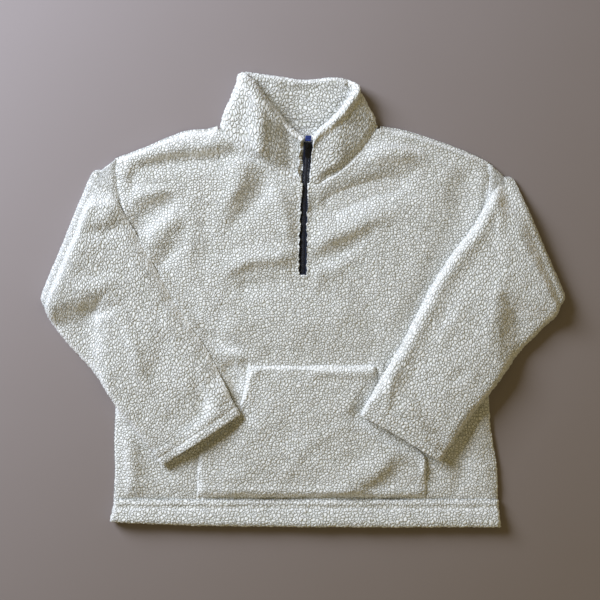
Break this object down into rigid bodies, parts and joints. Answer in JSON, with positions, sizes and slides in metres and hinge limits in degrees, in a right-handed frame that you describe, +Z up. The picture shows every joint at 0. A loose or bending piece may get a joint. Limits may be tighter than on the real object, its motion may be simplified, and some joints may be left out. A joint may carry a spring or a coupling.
{
  "type": "sherpa fleece half-zip pullover",
  "caption": "Sherpa fleece pullover with a stand-up collar, half zip and front pouch pocket, laid flat on its back with its sleeves folded over the front.",
  "frame": {"origin": "under the middle of the whole garment, on the surface that it lies on", "axes": "+X across the body towards the right of the picture, +Y from the hem towards the collar, +Z up from the surface"},
  "size_m": [0.7596, 0.6552, 0.0348],
  "materials": {
    "sherpa_fleece": "curly off-white pile, matt",
    "zip_tape": "woven dark navy tape",
    "zip_end_tape": "woven blue tape",
    "zip_coil": "nylon coil, satin",
    "black_metal": "black lacquer, satin"
  },
  "bodies": {
    "garment": {"back_panel": "sherpa_fleece", "front_panel": "sherpa_fleece", "pocket": "sherpa_fleece", "hem_band": "sherpa_fleece", "sleeve_left": "sherpa_fleece", "sleeve_right": "sherpa_fleece", "cuff_left": "sherpa_fleece", "cuff_right": "sherpa_fleece", "collar": "sherpa_fleece", "zip_tape_left": "zip_tape", "zip_tape_right": "zip_tape", "zip_bottom_stop": "zip_tape", "zip_top_end": "zip_end_tape", "zip_coil": "zip_coil", "zip_slider": "black_metal"},
    "zip_pull": {"pull_tab": "black_metal"}
  },
  "joints": [
    {"name": "pull_tab_swing", "type": "hinge", "parent": "garment", "child": "zip_pull", "pos_m": [0.00795, 0.21984, 0.02135], "axis": [-1, 0, 0], "range_deg": [0, 150]}
  ]
}
